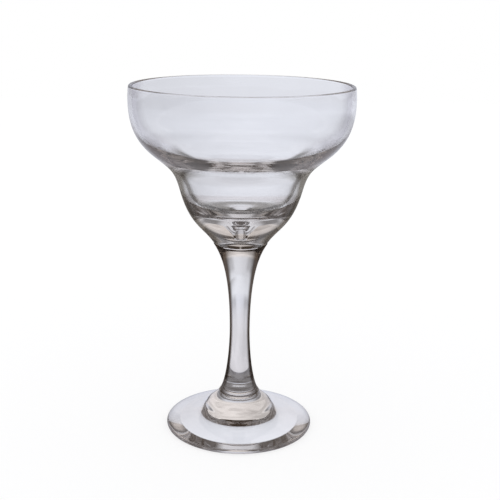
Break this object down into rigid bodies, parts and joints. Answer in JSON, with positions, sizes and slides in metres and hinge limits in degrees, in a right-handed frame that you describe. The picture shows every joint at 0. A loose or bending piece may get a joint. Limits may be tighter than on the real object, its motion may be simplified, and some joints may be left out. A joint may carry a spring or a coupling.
{
  "type": "margarita glass",
  "caption": "Clear stemmed cocktail glass: a wide rounded bowl steps down into a narrow lower cup, on a waisted solid stem and a round foot with a domed boss.",
  "frame": {"origin": "centre of the circle that the foot stands on, in the plane of the table", "axes": "+Z along the glass's own axis, up from the foot to the rim; X and Y are any two directions square to it, because the glass is a body of revolution"},
  "size_m": [0.112, 0.112, 0.18],
  "materials": {
    "clear_glass": "fire-polished clear soda-lime glass"
  },
  "bodies": {
    "root": {"bowl": "clear_glass", "stem": "clear_glass", "foot": "clear_glass"}
  },
  "joints": []
}
